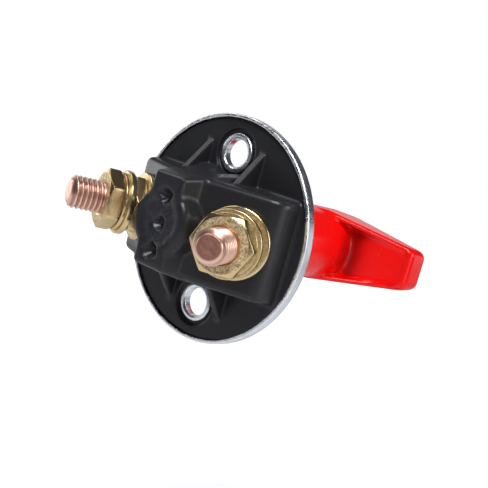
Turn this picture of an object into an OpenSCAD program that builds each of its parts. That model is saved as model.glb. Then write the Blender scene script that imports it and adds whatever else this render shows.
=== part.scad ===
// Panel battery cut-off switch with two threaded stud terminals and a turning key.
// Row frame, in millimetres: X runs across the two studs, +Y points to the rear, +Z points up.
// The origin is the middle of the cover plate's front face, which meets the panel.
// Every module is drawn with its own Z along the switch axis and then turned to +Y.

/* [Cover plate] */
// Outer radius of the pressed cover plate
plate_r = 35; // [30:0.1:42]
// Thickness of the pressed sheet
plate_t = 1.2; // [0.8:0.05:1.6]
// Height of the rim from the panel face to the rear lip
rim_h = 3.9; // [3.4:0.05:5]
// Wall thickness of the rim
rim_t = 0.9; // [0.6:0.05:1.2]
// How far the rear lip of the rim is rolled inwards
rim_lip = 0.25; // [0.1:0.05:0.6]
// Outer radius of the front collar
collar_r = 15.3; // [14.8:0.05:18]
// Distance of the flange's rear face from the panel face
flange_y = 3.1; // [2.9:0.05:3.3]
// Length of the front collar ahead of the panel face
collar_l = 11; // [10:0.1:14]

/* [Eyelets] */
// Distance of each eyelet inside the middle between the collar and the plate edge
eyelet_in = 1.65; // [0.6:0.05:2.6]
// Radius of the through hole in an eyelet
eyelet_bore_r = 4.3; // [3.6:0.05:4.5]
// Wall thickness of the eyelet barrel
eyelet_wall = 0.6; // [0.4:0.05:0.8]
// Radius of the flared end of an eyelet
eyelet_flare_r = 6.1; // [5.6:0.05:6.5]
// Radius of the recess around the rear flare
seat_r = 7.3; // [6.9:0.05:7.7]
// Distance of the recess floor from the panel face
seat_floor = 2; // [1.8:0.05:2.4]

/* [Housing] */
// Half length of the contact box along X
box_x = 29; // [28:0.05:30.4]
// Half height of the contact box along Z
box_z = 15; // [14:0.05:15.6]
// Rounding of the contact box edges
box_round = 2.4; // [0.8:0.1:3]
// Draft of the contact box walls over their height
box_draft = 0.6; // [0:0.05:1]
// Angle between each stud and the switch axis
splay = 24.5; // [19:0.1:25]
// Distance of each stud seat from the switch axis
seat_x = 19.3; // [19:0.05:21]
// Distance of each stud seat from the panel face
seat_y = 15.1; // [13.8:0.05:15.4]
// Wall thickness between the sloping face and the contact chamber
wall = 2.6; // [2.2:0.05:3]
// Distance of the barrier ridge top from the panel face
ridge_y = 27.75; // [25:0.1:30]
// Half width of the barrier ridge
ridge_x = 5.8; // [4.4:0.05:6]
// Half length of the barrier ridge's top along Z
ridge_z = 13.6; // [12.4:0.05:14.4]
// Radius of the round boss in the middle of the ridge
dome_r = 10.6; // [9.4:0.05:11]
// Rounding of the boss around its top
dome_round = 2; // [1:0.1:2.6]
// Depth of the dish on top of the boss
dish_depth = 0.9; // [0.3:0.05:1.1]
// Pitch of the three pits along the ridge
pit_pitch = 8.15; // [7:0.05:9]
// Mouth radius of a pit
pit_r = 2; // [1.4:0.05:2.4]
// Depth of a pit
pit_depth = 1.5; // [0.8:0.05:2]
// Offset of each gusset from the middle plane
gusset_x = 10.6; // [9.8:0.05:13]
// Thickness of a gusset
gusset_t = 2.2; // [1.6:0.05:2.8]
// Reach of each gusset beyond the eyelet axis
gusset_out = 2.5; // [1:0.1:4]
// Distance of a gusset's inner end from the panel face
gusset_top = 12.6; // [11:0.1:15]

/* [Studs and nuts] */
// Outside diameter of the stud thread
stud_d = 10; // [9.6:0.1:10.2]
// Undercut of the stud up to its top nut, as deep as half the thread
stack_cut = 0.45; // [0.3:0.05:0.6]
// Length of the lead chamfer at the tip of a stud
tip_len = 1.3; // [0.8:0.05:1.8]
// Depth of the lead chamfer at the tip of a stud
tip_cut = 1.45; // [0.6:0.05:1.8]
// Length of each stud beyond its seat
stud_out = 24.1; // [22:0.1:30]
// Thickness of the rounded base washer
base_t = 2.1; // [1.6:0.05:2.6]
// Outer radius of the base washer
base_r = 10.5; // [10:0.05:11.2]
// Width across the flats of the nuts
nut_af = 16.2; // [15.8:0.1:17.6]
// Thickness of the lower nut
lower_nut_t = 4.05; // [3.6:0.05:5]
// Thickness of the plain washer
plain_t = 1.75; // [1.4:0.05:2.4]
// Outer radius of the plain washer
plain_r = 10.2; // [10:0.05:11]
// Thickness of the split spring washer
spring_washer_t = 1.2; // [1:0.05:2.6]
// Outer radius of the split spring washer
spring_washer_r = 8.8; // [8.6:0.05:9.4]
// Thickness of the top nut
top_nut_t = 4.9; // [4.4:0.05:5.6]

/* [Switching parts] */
// Stroke of the contact bridge between open and closed
stroke = 2.5; // [2:0.05:2.7]
// Wall of the guide bush around the rotor
bush_wall = 3.69; // [3:0.01:4.2]
// Thickness of the contact bridge
bridge_t = 2.4; // [2:0.05:2.6]
// Half length of the contact bridge
bridge_x = 22.4; // [21:0.05:23]
// Half width of the contact bridge
bridge_z = 5.9; // [5:0.05:6]
// Radius of the contact head on each stud
head_r = 6.1; // [5.9:0.05:6.3]
// Radius of the guide stem on the carrier
stem_r = 2.5; // [2.2:0.05:2.7]
// Radial clearance of the return spring around the neck
spring_gap = 0.25; // [0.2:0.01:0.3]
// Wire radius of the return spring
wire_r = 0.5; // [0.35:0.05:0.6]
// Turns of the return spring
spring_turns = 6; // [4:1:8]

/* [Key] */
// Radius of the key shaft
key_r = 12.3; // [11.5:0.05:13]
// Wall of the rotor around the key socket
socket_wall = 3.7; // [3:0.05:4.2]
// Distance from the panel face to the front of the handle
key_front = 70.5; // [60:0.5:80]
// Depth of the handle where it leaves the shaft
wing_root = 21.7; // [14:0.5:24]
// Depth of the handle at its ends
wing_tip = 9.5; // [6:0.5:12]
// Half length of the handle
wing_x = 32.4; // [28:0.1:40]
// Half thickness of the handle at its ends
wing_z = 7.1; // [5:0.1:9]
// Rounding of the handle edges
wing_round = 1.8; // [1:0.1:2.6]
// Length of the drafted end of the shaft inside the handle
shaft_draft_l = 13.5; // [8:0.5:18]
// Draft of the handle towards its front, in millimetres of half thickness
handle_draft = 1.6; // [0:0.1:2.4]

/* [Fits] */
// Clearance between parts that rest on each other
seat_gap = 0.02; // [0.01:0.01:0.05]
// Radial clearance of a turning or sliding fit
run_gap = 0.06; // [0.03:0.01:0.1]
// Radial clearance of a loose fit around a fixed piece
loose_gap = 0.15; // [0.08:0.01:0.3]

/* [Hidden] */

$fn = 64;
e = 0.01;

stud_r = stud_d / 2;
core_r = stud_r - stack_cut;
eyelet_off = (plate_r + collar_r) / 2 - eyelet_in;
gusset_reach = eyelet_off + gusset_out;
rim_in = plate_r - rim_t;
lip_in = rim_in - rim_lip;
lip_t = rim_h - flange_y;
collar_in = collar_r - plate_t;

// guide bush and its rectangular foot inside the housing front
bush_foot_t = 1;
bush_r = collar_in - loose_gap;
rotor_r = bush_r - bush_wall - run_gap;
hub_r = rotor_r - socket_wall;
bush_front = plate_t - collar_l;
foot_y0 = plate_t + seat_gap;
foot_y1 = foot_y0 + bush_foot_t;
foot_x = box_x - box_round - 0.4;
foot_z = box_z - box_round - 0.4;

// rotor and its cam pocket
rotor_front = -collar_l - 0.2;
shoulder = -4;
rotor_flange_r = rotor_r + 1.4;
bush_wide_r = rotor_flange_r + loose_gap;
pocket_r1 = rotor_r - 1;
pocket_r0 = pocket_r1 - 4;
lug_gap = 0.4;
lug_r0 = pocket_r0 + lug_gap;
lug_r1 = pocket_r1 - lug_gap;
cam_gap = 0.05;
lug_half = 14;
lug_half_c = lug_half + 0.5;
lug_tip = -3.2;
pocket_floor = lug_tip - cam_gap;
rotor_back = lug_tip + stroke + 0.3;
socket_floor = -8;
slot_floor = -5.6;
tongue_w = 3;
tongue_x = 2 * hub_r - 1;
ring_r = 0.74;
groove_r = rotor_r - 2 * ring_r + 0.02;
groove_y = -6.8;

// carrier, bridge and spring along the switch axis
disc_r = pocket_r1 - 0.2;
disc_y0 = 0.3;
disc_y1 = 1.9;
cone_t = 0.4;
cone_r1 = disc_r - 1;
bridge_y = 2.5;
bridge_back = bridge_y + bridge_t;
square = disc_r - 2;
cone_r0 = square * 0.72 + loose_gap;
clip_t = 0.65;
clip_y = bridge_back + seat_gap;
groove_in = square / 2 - 0.1;
clip_r = groove_in + 2;
neck_r = groove_in + 0.6;
neck_y = clip_y + clip_t + 0.4;
stem_y = 19;
contact_y = bridge_back + stroke + 0.05;

// chamber inside the housing
chamber_x = bridge_x + 2.3;
chamber_z = head_r + 0.35;
ceiling = ridge_y - 3;
spring_r = neck_r + wire_r + spring_gap;
shaft_bore_r = spring_r + wire_r + 0.9;
boss_r = spring_r - wire_r - 0.35;
boss_y = 15.6;
roof_0 = seat_y + seat_x * tan(splay);
tip_depth = seat_y - (box_x - seat_x) * tan(splay);

// stack on each stud, measured from the seat along the stud
base_k = seat_gap;
lower_k = base_k + base_t + seat_gap;
plain_k = lower_k + lower_nut_t + seat_gap;
spring_k = plain_k + plain_t + seat_gap;
top_k = spring_k + spring_washer_t + seat_gap;
free_k = top_k + top_nut_t;

// key
key_end = rotor_front - 0.03;

function arc(cx, cy, r, a0, a1, n) = [for (i = [0 : n]) [cx + r * cos(a0 + (a1 - a0) * i / n),
                                                      cy + r * sin(a0 + (a1 - a0) * i / n)]];

// local Z turns into +Y, local Y into -Z
module rearward() { rotate([-90, 0, 0]) children(); }

module on_stud(side) {
    translate([side * seat_x, 0, seat_y]) rotate([0, side * splay, 0]) children();
}

module ring(ro, ri, h, z = 0) {
    translate([0, 0, z]) difference() {
        cylinder(r = ro, h = h);
        translate([0, 0, -1]) cylinder(r = ri, h = h + 2);
    }
}

module rounded_slab(x, y, h, r) {
    linear_extrude(height = h) offset(r = r, $fn = 32) square([2 * (x - r), 2 * (y - r)], center = true);
}

module roof_section(drop, x, low) {
    translate([0, chamber_z, 0]) rotate([90, 0, 0]) linear_extrude(height = 2 * chamber_z)
        polygon([[-x, low], [x, low],
                 [x, seat_y - drop - (x - seat_x) * tan(splay)],
                 [0, roof_0 - drop],
                 [-x, seat_y - drop - (x - seat_x) * tan(splay)]]);
}

// contact box: flat foot, two sloping faces and rounded edges
module box_shell() {
    r = box_round;
    hull() {
        translate([0, 0, foot_y1 - 0.6]) rounded_slab(box_x + box_draft / 2, box_z + box_draft / 2, 0.5, 2.4);
        for (sx = [-1, 1], sz = [-1, 1])
            translate([sx * (box_x - r), sz * (box_z - r), tip_depth - r]) sphere(r = r, $fn = 24);
        for (sz = [-1, 1])
            translate([0, sz * (box_z - r), roof_0 - r]) sphere(r = r, $fn = 24);
    }
}

module ridge_shell() {
    r = 1;
    hull() {
        for (sx = [-1, 1], sz = [-1, 1]) {
            translate([sx * (ridge_x - r), sz * (ridge_z - r), ridge_y - r]) sphere(r = r, $fn = 24);
            translate([sx * (ridge_x + 1.3 - r), sz * (box_z - 0.1 - r), ridge_y - 8])
                cylinder(r = r, h = 1, $fn = 24);
        }
    }
}

module dome_shell() {
    rotate_extrude($fn = 72) polygon(concat([[0, 8], [dome_r + 0.4, 8]],
        arc(dome_r - dome_round, ridge_y - dome_round, dome_round, 0, 90, 6), [[0, ridge_y]]));
}

module gusset(sx, sz) {
    h0 = foot_y1 - 0.6;
    translate([sx * gusset_x + gusset_t / 2, 0, 0]) rotate([0, -90, 0]) linear_extrude(height = gusset_t)
        polygon([[h0, sz * (box_z - 2)], [h0, sz * gusset_reach], [flange_y - 0.1, sz * gusset_reach],
                 [gusset_top, sz * (box_z - 0.1)], [gusset_top, sz * (box_z - 2)]]);
}

module housing() {
    color([0.05, 0.05, 0.055]) rearward() difference() {
        union() {
            difference() {
                union() {
                    rotate_extrude($fn = 96) polygon([[0, foot_y0], [rim_in - seat_gap, foot_y0],
                        [rim_in - seat_gap, flange_y - seat_gap], [0, flange_y - seat_gap]]);
                    box_shell();
                    ridge_shell();
                    dome_shell();
                    for (sx = [-1, 1], sz = [-1, 1]) gusset(sx, sz);
                }
                roof_section(wall / cos(splay), chamber_x, foot_y1);
                cylinder(r = disc_r + 0.5, h = contact_y - 1.2);
                translate([0, 0, 5]) cylinder(r = shaft_bore_r, h = ceiling - 5, $fn = 48);
                translate([0, 0, plate_t - 1]) rounded_slab(foot_x + loose_gap, foot_z + loose_gap,
                    foot_y1 + seat_gap - plate_t + 1, 1);
            }
            translate([0, 0, boss_y]) cylinder(r = boss_r, h = ceiling - boss_y + 1, $fn = 48);
        }
        translate([0, 0, boss_y - 1]) cylinder(r = stem_r + run_gap, h = ceiling - boss_y + 0.6, $fn = 48);
        for (s = [-1, 1]) {
            on_stud(s) translate([0, 0, -wall - 2]) cylinder(r = core_r + seat_gap, h = wall + 4);
            on_stud(s) cylinder(r = base_r + loose_gap, h = ridge_y, $fn = 96);
            translate([0, s * eyelet_off, 0]) {
                cylinder(r = eyelet_bore_r + eyelet_wall + seat_gap, h = ridge_y, $fn = 48);
                translate([0, 0, seat_floor]) cylinder(r = seat_r, h = ridge_y, $fn = 64);
            }
        }
        ring(2 * plate_r, rim_in - seat_gap, rim_h + seat_gap);
        translate([0, 0, ridge_y - dish_depth]) cylinder(r1 = dome_r - dome_round - 0.8,
            r2 = dome_r - dome_round - 0.2, h = dish_depth + e);
        for (i = [-1 : 1])
            translate([0, 1.1 + i * pit_pitch, ridge_y - pit_depth - dish_depth / 2])
                cylinder(r1 = pit_r * 0.55, r2 = pit_r, h = pit_depth + dish_depth / 2 + e, $fn = 28);
    }
}

module cover_plate() {
    color([0.8, 0.82, 0.85]) rearward() difference() {
        rotate_extrude($fn = 96) polygon(concat(
            [[rotor_r + 0.5, -collar_l], [collar_r - 1, -collar_l]],
            arc(collar_r - 1, -collar_l + 1, 1, -90, 0, 4),
            arc(collar_r + 0.8, -0.8, 0.8, 180, 90, 4),
            arc(plate_r - 1.2, 1.2, 1.2, -90, 0, 6),
            arc(plate_r - 0.7, rim_h - 0.7, 0.7, 0, 80, 4),
            [[lip_in + 0.2, rim_h], [lip_in, rim_h - 0.15], [lip_in, rim_h - lip_t],
             [rim_in, rim_h - lip_t], [rim_in, plate_t],
             [collar_in, plate_t], [collar_in, -collar_l + plate_t],
             [rotor_r + 0.5, -collar_l + plate_t]]));
        for (s = [-1, 1]) translate([0, s * eyelet_off, 0]) {
            translate([0, 0, -1]) cylinder(r = eyelet_bore_r + eyelet_wall + seat_gap, h = 4, $fn = 48);
            translate([0, 0, -1]) cylinder(r = eyelet_flare_r + loose_gap, h = 1.6, $fn = 48);
        }
    }
}

module eyelet_at(s) {
    ro = eyelet_bore_r + eyelet_wall;
    fl = eyelet_flare_r;
    top = seat_floor + seat_gap;
    rearward() translate([0, s * eyelet_off, 0]) rotate_extrude($fn = 48) polygon(concat(
        [[eyelet_bore_r + 0.3, 0.02], [fl, 0.02], [fl, 0.58], [ro, 0.58], [ro, top], [fl - 0.1, top]],
        [for (i = [0 : 6]) [fl - (fl - eyelet_bore_r) / 2 * (1 - cos(i * 30)), top + 0.25 + 0.75 * sin(i * 30)]],
        [[eyelet_bore_r, 0.3]]));
}

module upper_eyelet() { color([0.82, 0.84, 0.87]) eyelet_at(-1); }
module lower_eyelet() { color([0.82, 0.84, 0.87]) eyelet_at(1); }

module guide_bush() {
    color([0.1, 0.1, 0.11]) rearward() difference() {
        union() {
            translate([0, 0, bush_front + seat_gap]) cylinder(r = bush_r, h = plate_t - bush_front - seat_gap, $fn = 96);
            intersection() {
                translate([0, 0, plate_t - 1]) cylinder(r = bush_r, h = bush_foot_t + 1, $fn = 96);
                translate([0, 0, plate_t - 2]) rounded_slab(foot_x, foot_z, bush_foot_t + 2, 1);
            }
            intersection() {
                translate([0, 0, foot_y0]) rounded_slab(foot_x, foot_z, bush_foot_t, 1);
                translate([0, 0, plate_t]) cylinder(r = rim_in - wall, h = 2 * bush_foot_t, $fn = 96);
            }
        }
        translate([0, 0, -collar_l - 2]) cylinder(r = rotor_r + run_gap, h = 2 * collar_l, $fn = 96);
        translate([0, 0, shoulder]) cylinder(r = bush_wide_r, h = 10, $fn = 96);
    }
}

// threaded stud with a contact head cut square to the switch axis
module stud_at(side) {
    rearward() {
        on_stud(side) rotate_extrude() polygon([[0, -wall - 1], [core_r, -wall - 1],
            [core_r, free_k], [stud_r, free_k + stack_cut], [stud_r, stud_out - tip_len],
            [stud_r - tip_cut, stud_out], [0, stud_out]]);
        difference() {
            on_stud(side) translate([0, 0, -wall - 10 - seat_gap]) cylinder(r = head_r, h = 10, $fn = 48);
            translate([-plate_r, -plate_r, contact_y - wall - head_r]) cube([2 * plate_r, 2 * plate_r, wall + head_r]);
        }
    }
}

module hex_nut(t, turn) {
    rc = nut_af / 2 / cos(30);
    rf = nut_af / 2 - 0.25;
    ro = rc + 0.2;
    dz = (ro - rf) * tan(30);
    difference() {
        intersection() {
            rotate([0, 0, turn]) cylinder(r = rc, h = t, $fn = 6);
            rotate_extrude() polygon([[0, 0], [rf, 0], [ro, dz], [ro, t - dz], [rf, t], [0, t]]);
        }
        translate([0, 0, -1]) cylinder(r = core_r + seat_gap, h = t + 2);
    }
}

module base_washer_on(side) {
    rearward() on_stud(side) translate([0, 0, base_k]) rotate_extrude() polygon(concat(
        [[core_r + seat_gap, 0]], arc(base_r - 0.8, 0.8, 0.8, -90, 0, 4),
        arc(base_r - 0.8, base_t - 0.8, 0.8, 0, 90, 4), [[core_r + seat_gap, base_t]]));
}

module plain_washer_on(side) {
    rearward() on_stud(side) translate([0, 0, plain_k]) rotate_extrude() polygon([
        [stud_r + loose_gap, 0], [plain_r - 0.3, 0], [plain_r, 0.3], [plain_r, plain_t - 0.3],
        [plain_r - 0.3, plain_t], [stud_r + loose_gap, plain_t]]);
}

module spring_washer_on(side, turn) {
    rearward() on_stud(side) translate([0, 0, spring_k]) difference() {
        ring(spring_washer_r, stud_r + loose_gap, spring_washer_t);
        rotate([0, 0, turn]) translate([stud_r + 2, 0, spring_washer_t / 2]) rotate([25, 0, 0])
            cube([8, 0.7, 12], center = true);
    }
}

module nut_on(side, k, t, turn) {
    rearward() on_stud(side) translate([0, 0, k]) hex_nut(t, turn);
}

module left_stud() { color([0.85, 0.5, 0.38]) stud_at(-1); }
module right_stud() { color([0.85, 0.5, 0.38]) stud_at(1); }
module left_base_washer() { color([0.85, 0.7, 0.35]) base_washer_on(-1); }
module right_base_washer() { color([0.85, 0.7, 0.35]) base_washer_on(1); }
module left_lower_nut() { color([0.85, 0.7, 0.35]) nut_on(-1, lower_k, lower_nut_t, 40); }
module right_lower_nut() { color([0.85, 0.7, 0.35]) nut_on(1, lower_k, lower_nut_t, 12); }
module left_plain_washer() { color([0.85, 0.7, 0.35]) plain_washer_on(-1); }
module right_plain_washer() { color([0.85, 0.7, 0.35]) plain_washer_on(1); }
module left_spring_washer() { color([0.85, 0.7, 0.35]) spring_washer_on(-1, 118); }
module right_spring_washer() { color([0.85, 0.7, 0.35]) spring_washer_on(1, 20); }
module left_top_nut() { color([0.85, 0.7, 0.35]) nut_on(-1, top_k, top_nut_t, 3.5); }
module right_top_nut() { color([0.85, 0.7, 0.35]) nut_on(1, top_k, top_nut_t, -28.2); }

// helical step of the cam: the top rises evenly along the span
module cam_sector(a0, span, z0, z1, base) {
    n = 9;
    ri = pocket_r0 - 0.1;
    ro = pocket_r1 + 0.1;
    pts = [for (i = [0 : n]) let (a = a0 + span * i / n, z = z0 + (z1 - z0) * i / n)
        each [[ri * cos(a), ri * sin(a), base], [ro * cos(a), ro * sin(a), base],
              [ro * cos(a), ro * sin(a), z], [ri * cos(a), ri * sin(a), z]]];
    sides = [for (i = [0 : n - 1], j = [0 : 3]) let (p = 4 * i + j, q = 4 * i + (j + 1) % 4)
        each [[p, q, q + 4], [p, q + 4, p + 4]]];
    caps = [[3, 2, 1, 0], [4 * n, 4 * n + 1, 4 * n + 2, 4 * n + 3]];
    polyhedron(points = pts, faces = concat(sides, caps));
}

module rotor() {
    floor_z = pocket_floor;
    high_z = pocket_floor + stroke;
    color([0.75, 0.72, 0.66]) rearward() difference() {
        union() {
            difference() {
                rotate_extrude($fn = 72) polygon([[0, rotor_front], [rotor_r, rotor_front],
                    [rotor_r, groove_y - ring_r - 0.03], [groove_r, groove_y - ring_r - 0.03],
                    [groove_r, groove_y + ring_r + 0.03], [rotor_r, groove_y + ring_r + 0.03],
                    [rotor_r, shoulder + seat_gap], [rotor_flange_r, shoulder + seat_gap],
                    [rotor_flange_r, rotor_back], [0, rotor_back]]);
                ring(pocket_r1, pocket_r0, 10, floor_z);
            }
            for (s = [90, 270]) {
                cam_sector(s - lug_half_c - 90, 90, high_z, floor_z, floor_z - 0.3);
                cam_sector(s - 180 + lug_half_c + 1, 89 - 2 * lug_half_c, high_z, high_z, floor_z - 0.3);
            }
        }
        translate([0, 0, rotor_front - 1]) cylinder(r = hub_r + run_gap, h = socket_floor - rotor_front + 1, $fn = 48);
        translate([-tongue_x / 2 - run_gap, -tongue_w / 2 - run_gap, socket_floor - 1])
            cube([tongue_x + 2 * run_gap, tongue_w + 2 * run_gap, slot_floor - socket_floor + 1]);
    }
}

module rotor_seal() {
    color([0.06, 0.06, 0.06]) rearward() translate([0, 0, groove_y])
        rotate_extrude($fn = 48) translate([groove_r + ring_r + 0.01, 0]) circle(r = ring_r, $fn = 14);
}

module carrier() {
    color([0.85, 0.83, 0.76]) rearward() {
        difference() {
            union() {
                translate([0, 0, disc_y0]) cylinder(r = disc_r, h = disc_y1 - disc_y0);
                translate([-square / 2, -square / 2, disc_y1 - e]) cube([square, square, bridge_back - disc_y1]);
                translate([0, 0, bridge_back - 0.3]) cylinder(r = groove_in, h = clip_t + 0.6, $fn = 48);
                translate([0, 0, clip_y + clip_t + seat_gap]) cylinder(r = neck_r, h = 0.4, $fn = 48);
                translate([0, 0, neck_y - 0.2]) cylinder(r = stem_r, h = stem_y - neck_y + 0.2, $fn = 48);
            }
        }
        for (s = [90, 270]) rotate([0, 0, s - lug_half]) rotate_extrude(angle = 2 * lug_half, $fn = 72)
            polygon([[lug_r0, lug_tip], [lug_r1, lug_tip], [lug_r1, disc_y0 + 0.2], [lug_r0, disc_y0 + 0.2]]);
    }
}

// conical washer that loads the bridge
module contact_spring() {
    z0 = disc_y1 + seat_gap;
    z1 = bridge_y - seat_gap;
    color([0.6, 0.61, 0.63]) rearward() rotate_extrude($fn = 48) polygon([
        [cone_r0, z0], [cone_r0 + cone_t, z0], [cone_r1, z1 - cone_t], [cone_r1, z1],
        [cone_r1 - cone_t, z1], [cone_r0, z0 + cone_t]]);
}

module bridge() {
    color([0.85, 0.5, 0.38]) rearward() difference() {
        translate([0, 0, bridge_y]) rounded_slab(bridge_x, bridge_z, bridge_t, 1.5);
        translate([-square / 2 - run_gap, -square / 2 - run_gap, 0]) cube([square + 2 * run_gap, square + 2 * run_gap, 10]);
    }
}

module bridge_clip() {
    color([0.6, 0.61, 0.63]) rearward() translate([0, 0, clip_y]) difference() {
        ring(clip_r, groove_in + seat_gap, clip_t);
        translate([0, -1.2, -1]) cube([10, 2.4, 3]);
    }
}

// round wire helix with a level ring at each end
module return_spring() {
    z0 = clip_y + clip_t + seat_gap + wire_r;
    z1 = ceiling - seat_gap - wire_r;
    n = spring_turns * 20;
    m = 8;
    pts = [for (i = [0 : n], j = [0 : m - 1])
        let (a = i * 18, b = j * 360 / m,
             f = min(max((i - 15) / (n - 30), 0), 1),
             r = spring_r + wire_r * cos(b))
        [r * cos(a), r * sin(a), z0 + (z1 - z0) * f + wire_r * sin(b)
         + (i < 15 ? (15 - i) * 0.0001 : 0) - (i > n - 15 ? (i - n + 15) * 0.0001 : 0)]];
    faces = [for (i = [0 : n - 1], j = [0 : m - 1])
        let (p = i * m + j, q = i * m + (j + 1) % m)
        each [[p, q, q + m], [p, q + m, p + m]]];
    color([0.6, 0.61, 0.63]) rearward() polyhedron(points = pts,
        faces = concat(faces, [[for (j = [m - 1 : -1 : 0]) j], [for (j = [0 : m - 1]) n * m + j]]));
}

module key() {
    r = wing_round;
    front = -key_front;
    half = key_r - handle_draft;
    tip_half = wing_z - handle_draft * wing_tip / wing_root;
    color([0.85, 0.03, 0.02]) rearward() {
        rotate_extrude($fn = 96) polygon(concat([[0, front]], arc(half - r, front + r, r, -90, 0, 5),
            [[key_r, front + shaft_draft_l], [key_r, key_end - 0.6], [key_r - 0.6, key_end], [0, key_end]]));
        translate([0, 0, key_end - 0.5]) cylinder(r = hub_r, h = socket_floor - 0.1 - key_end + 0.5, $fn = 48);
        translate([-tongue_x / 2, -tongue_w / 2, socket_floor - 0.2])
            cube([tongue_x, tongue_w, slot_floor - socket_floor + 0.1]);
        hull() for (sz = [-1, 1]) {
            translate([0, sz * (half - r), front + r]) sphere(r = r, $fn = 24);
            translate([0, sz * (key_r - 0.2 - r), front + wing_root - r]) sphere(r = r, $fn = 24);
            for (sx = [-1, 1]) {
                translate([sx * (wing_x - r), sz * (tip_half - r), front + r]) sphere(r = r, $fn = 24);
                translate([sx * (wing_x - r), sz * (wing_z - r), front + wing_tip - r]) sphere(r = r, $fn = 24);
            }
        }
    }
}

housing();
cover_plate();
guide_bush();
upper_eyelet();
lower_eyelet();
left_stud();
left_base_washer();
left_lower_nut();
left_plain_washer();
left_spring_washer();
left_top_nut();
right_stud();
right_base_washer();
right_lower_nut();
right_plain_washer();
right_spring_washer();
right_top_nut();
rotor();
rotor_seal();
carrier();
contact_spring();
bridge();
bridge_clip();
return_spring();
key();
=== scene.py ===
"""Looks of a panel battery cut-off switch: housing, riveted cover plate, threaded studs and turning key."""

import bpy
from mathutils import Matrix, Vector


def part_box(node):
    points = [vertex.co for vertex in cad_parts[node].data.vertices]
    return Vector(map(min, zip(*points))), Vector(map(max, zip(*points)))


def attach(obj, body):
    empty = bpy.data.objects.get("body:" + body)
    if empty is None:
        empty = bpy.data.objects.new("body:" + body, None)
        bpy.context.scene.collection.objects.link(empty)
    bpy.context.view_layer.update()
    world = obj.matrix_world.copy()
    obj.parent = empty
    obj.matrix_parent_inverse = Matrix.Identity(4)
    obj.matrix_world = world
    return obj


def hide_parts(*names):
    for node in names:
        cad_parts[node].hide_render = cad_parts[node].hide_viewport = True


bl_info = {
    "name": "Battery cut-off switch looks",
    "version": (1, 0, 0),
    "blender": (4, 5, 0),
    "location": "View3D > Sidebar > Switch",
    "description": "Builds the visible surfaces and finishes of a panel battery cut-off switch",
    "category": "Object",
}

import bmesh
import bpy
import numpy as np
from mathutils import Matrix

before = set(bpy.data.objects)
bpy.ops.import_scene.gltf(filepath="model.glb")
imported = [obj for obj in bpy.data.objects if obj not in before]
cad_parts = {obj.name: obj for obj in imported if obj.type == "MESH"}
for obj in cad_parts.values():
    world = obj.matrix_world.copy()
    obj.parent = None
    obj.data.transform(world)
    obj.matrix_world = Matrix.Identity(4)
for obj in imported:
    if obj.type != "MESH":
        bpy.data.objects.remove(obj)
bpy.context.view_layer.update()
PLATE = [np.array(corner) * 1000 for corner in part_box("cover_plate")]
HOUSING = [np.array(corner) * 1000 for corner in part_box("housing")]
KEY = [np.array(corner) * 1000 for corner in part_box("key")]

TAU = 2 * np.pi

# sizes in millimetres that several pieces share, as in the solids

EYELET_AT = 23.5
EYELET_HOLE = 4.92
FLARE_SEAT = 2.02
STUD_CORE = 4.52
CONTACT_PLANE = 7.45


# surfaces

def grid_quads(rows, cols, wrap_rows=False, wrap_cols=True):
    """Quads of a grid of rows by cols: each joins a point to the next in its row and in the next row."""
    i = np.arange(rows if wrap_rows else rows - 1)
    j = np.arange(cols if wrap_cols else cols - 1)
    i, j = np.meshgrid(i, j, indexing="ij")
    a, b = i * cols + j, i * cols + (j + 1) % cols
    c, d = (i + 1) % rows * cols + (j + 1) % cols, (i + 1) % rows * cols + j
    return np.stack([a, b, c, d], -1).reshape(-1, 4)


def piece(name, points, quads, marks=None, merge=True, crease=40):
    """A mesh object from points in millimetres, with named point attributes and edges sharper than crease."""
    mesh = bpy.data.meshes.new(name)
    mesh.vertices.add(len(points))
    mesh.vertices.foreach_set("co", (np.asarray(points, float) / 1000).ravel())
    mesh.loops.add(quads.size)
    mesh.loops.foreach_set("vertex_index", quads.ravel())
    mesh.polygons.add(len(quads))
    mesh.polygons.foreach_set("loop_start", np.arange(0, quads.size, quads.shape[1]))
    mesh.update(calc_edges=True)
    mesh.validate()
    for label, values in (marks or {}).items():
        layer = mesh.attributes.new(label, "FLOAT", "POINT")
        layer.data.foreach_set("value", np.asarray(values, np.float32).ravel())
    if merge:
        bm = bmesh.new()
        bm.from_mesh(mesh)
        bmesh.ops.remove_doubles(bm, verts=bm.verts, dist=2e-7)
        bmesh.ops.dissolve_degenerate(bm, edges=bm.edges, dist=1e-7)
        bmesh.ops.recalc_face_normals(bm, faces=bm.faces)
        bm.to_mesh(mesh)
        bm.free()
    mesh.shade_smooth()
    if crease:
        mesh.set_sharp_from_angle(angle=np.radians(crease))
    thing = bpy.data.objects.new(name, mesh)
    bpy.context.scene.collection.objects.link(thing)
    return thing


def settle(thing, node, material, body="base"):
    """Lets a piece stand for a node of the frame, move with its body and take its finish."""
    thing.data.materials.clear()
    thing.data.materials.append(material)
    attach(thing, body)
    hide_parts(node)
    return thing


def soften(profile, radius, steps=3):
    """Rounds each inner corner of a profile (rows, cols, 2) by a parabola between points on its two sides."""
    rows = [profile[:1]]
    for k in range(1, len(profile) - 1):
        a, b, c = profile[k - 1], profile[k], profile[k + 1]
        for other in (a, c):
            gap = np.linalg.norm(other - b, axis=-1, keepdims=True)
            near = b + (other - b) / np.maximum(gap, 1e-9) * np.minimum(radius, gap * 0.45)
            if other is a:
                first = near
        t = np.linspace(0, 1, steps + 1)[:, None, None]
        rows.append((1 - t) ** 2 * first + 2 * t * (1 - t) * b + t ** 2 * near)
    rows.append(profile[-1:])
    return np.concatenate(rows)


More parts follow.
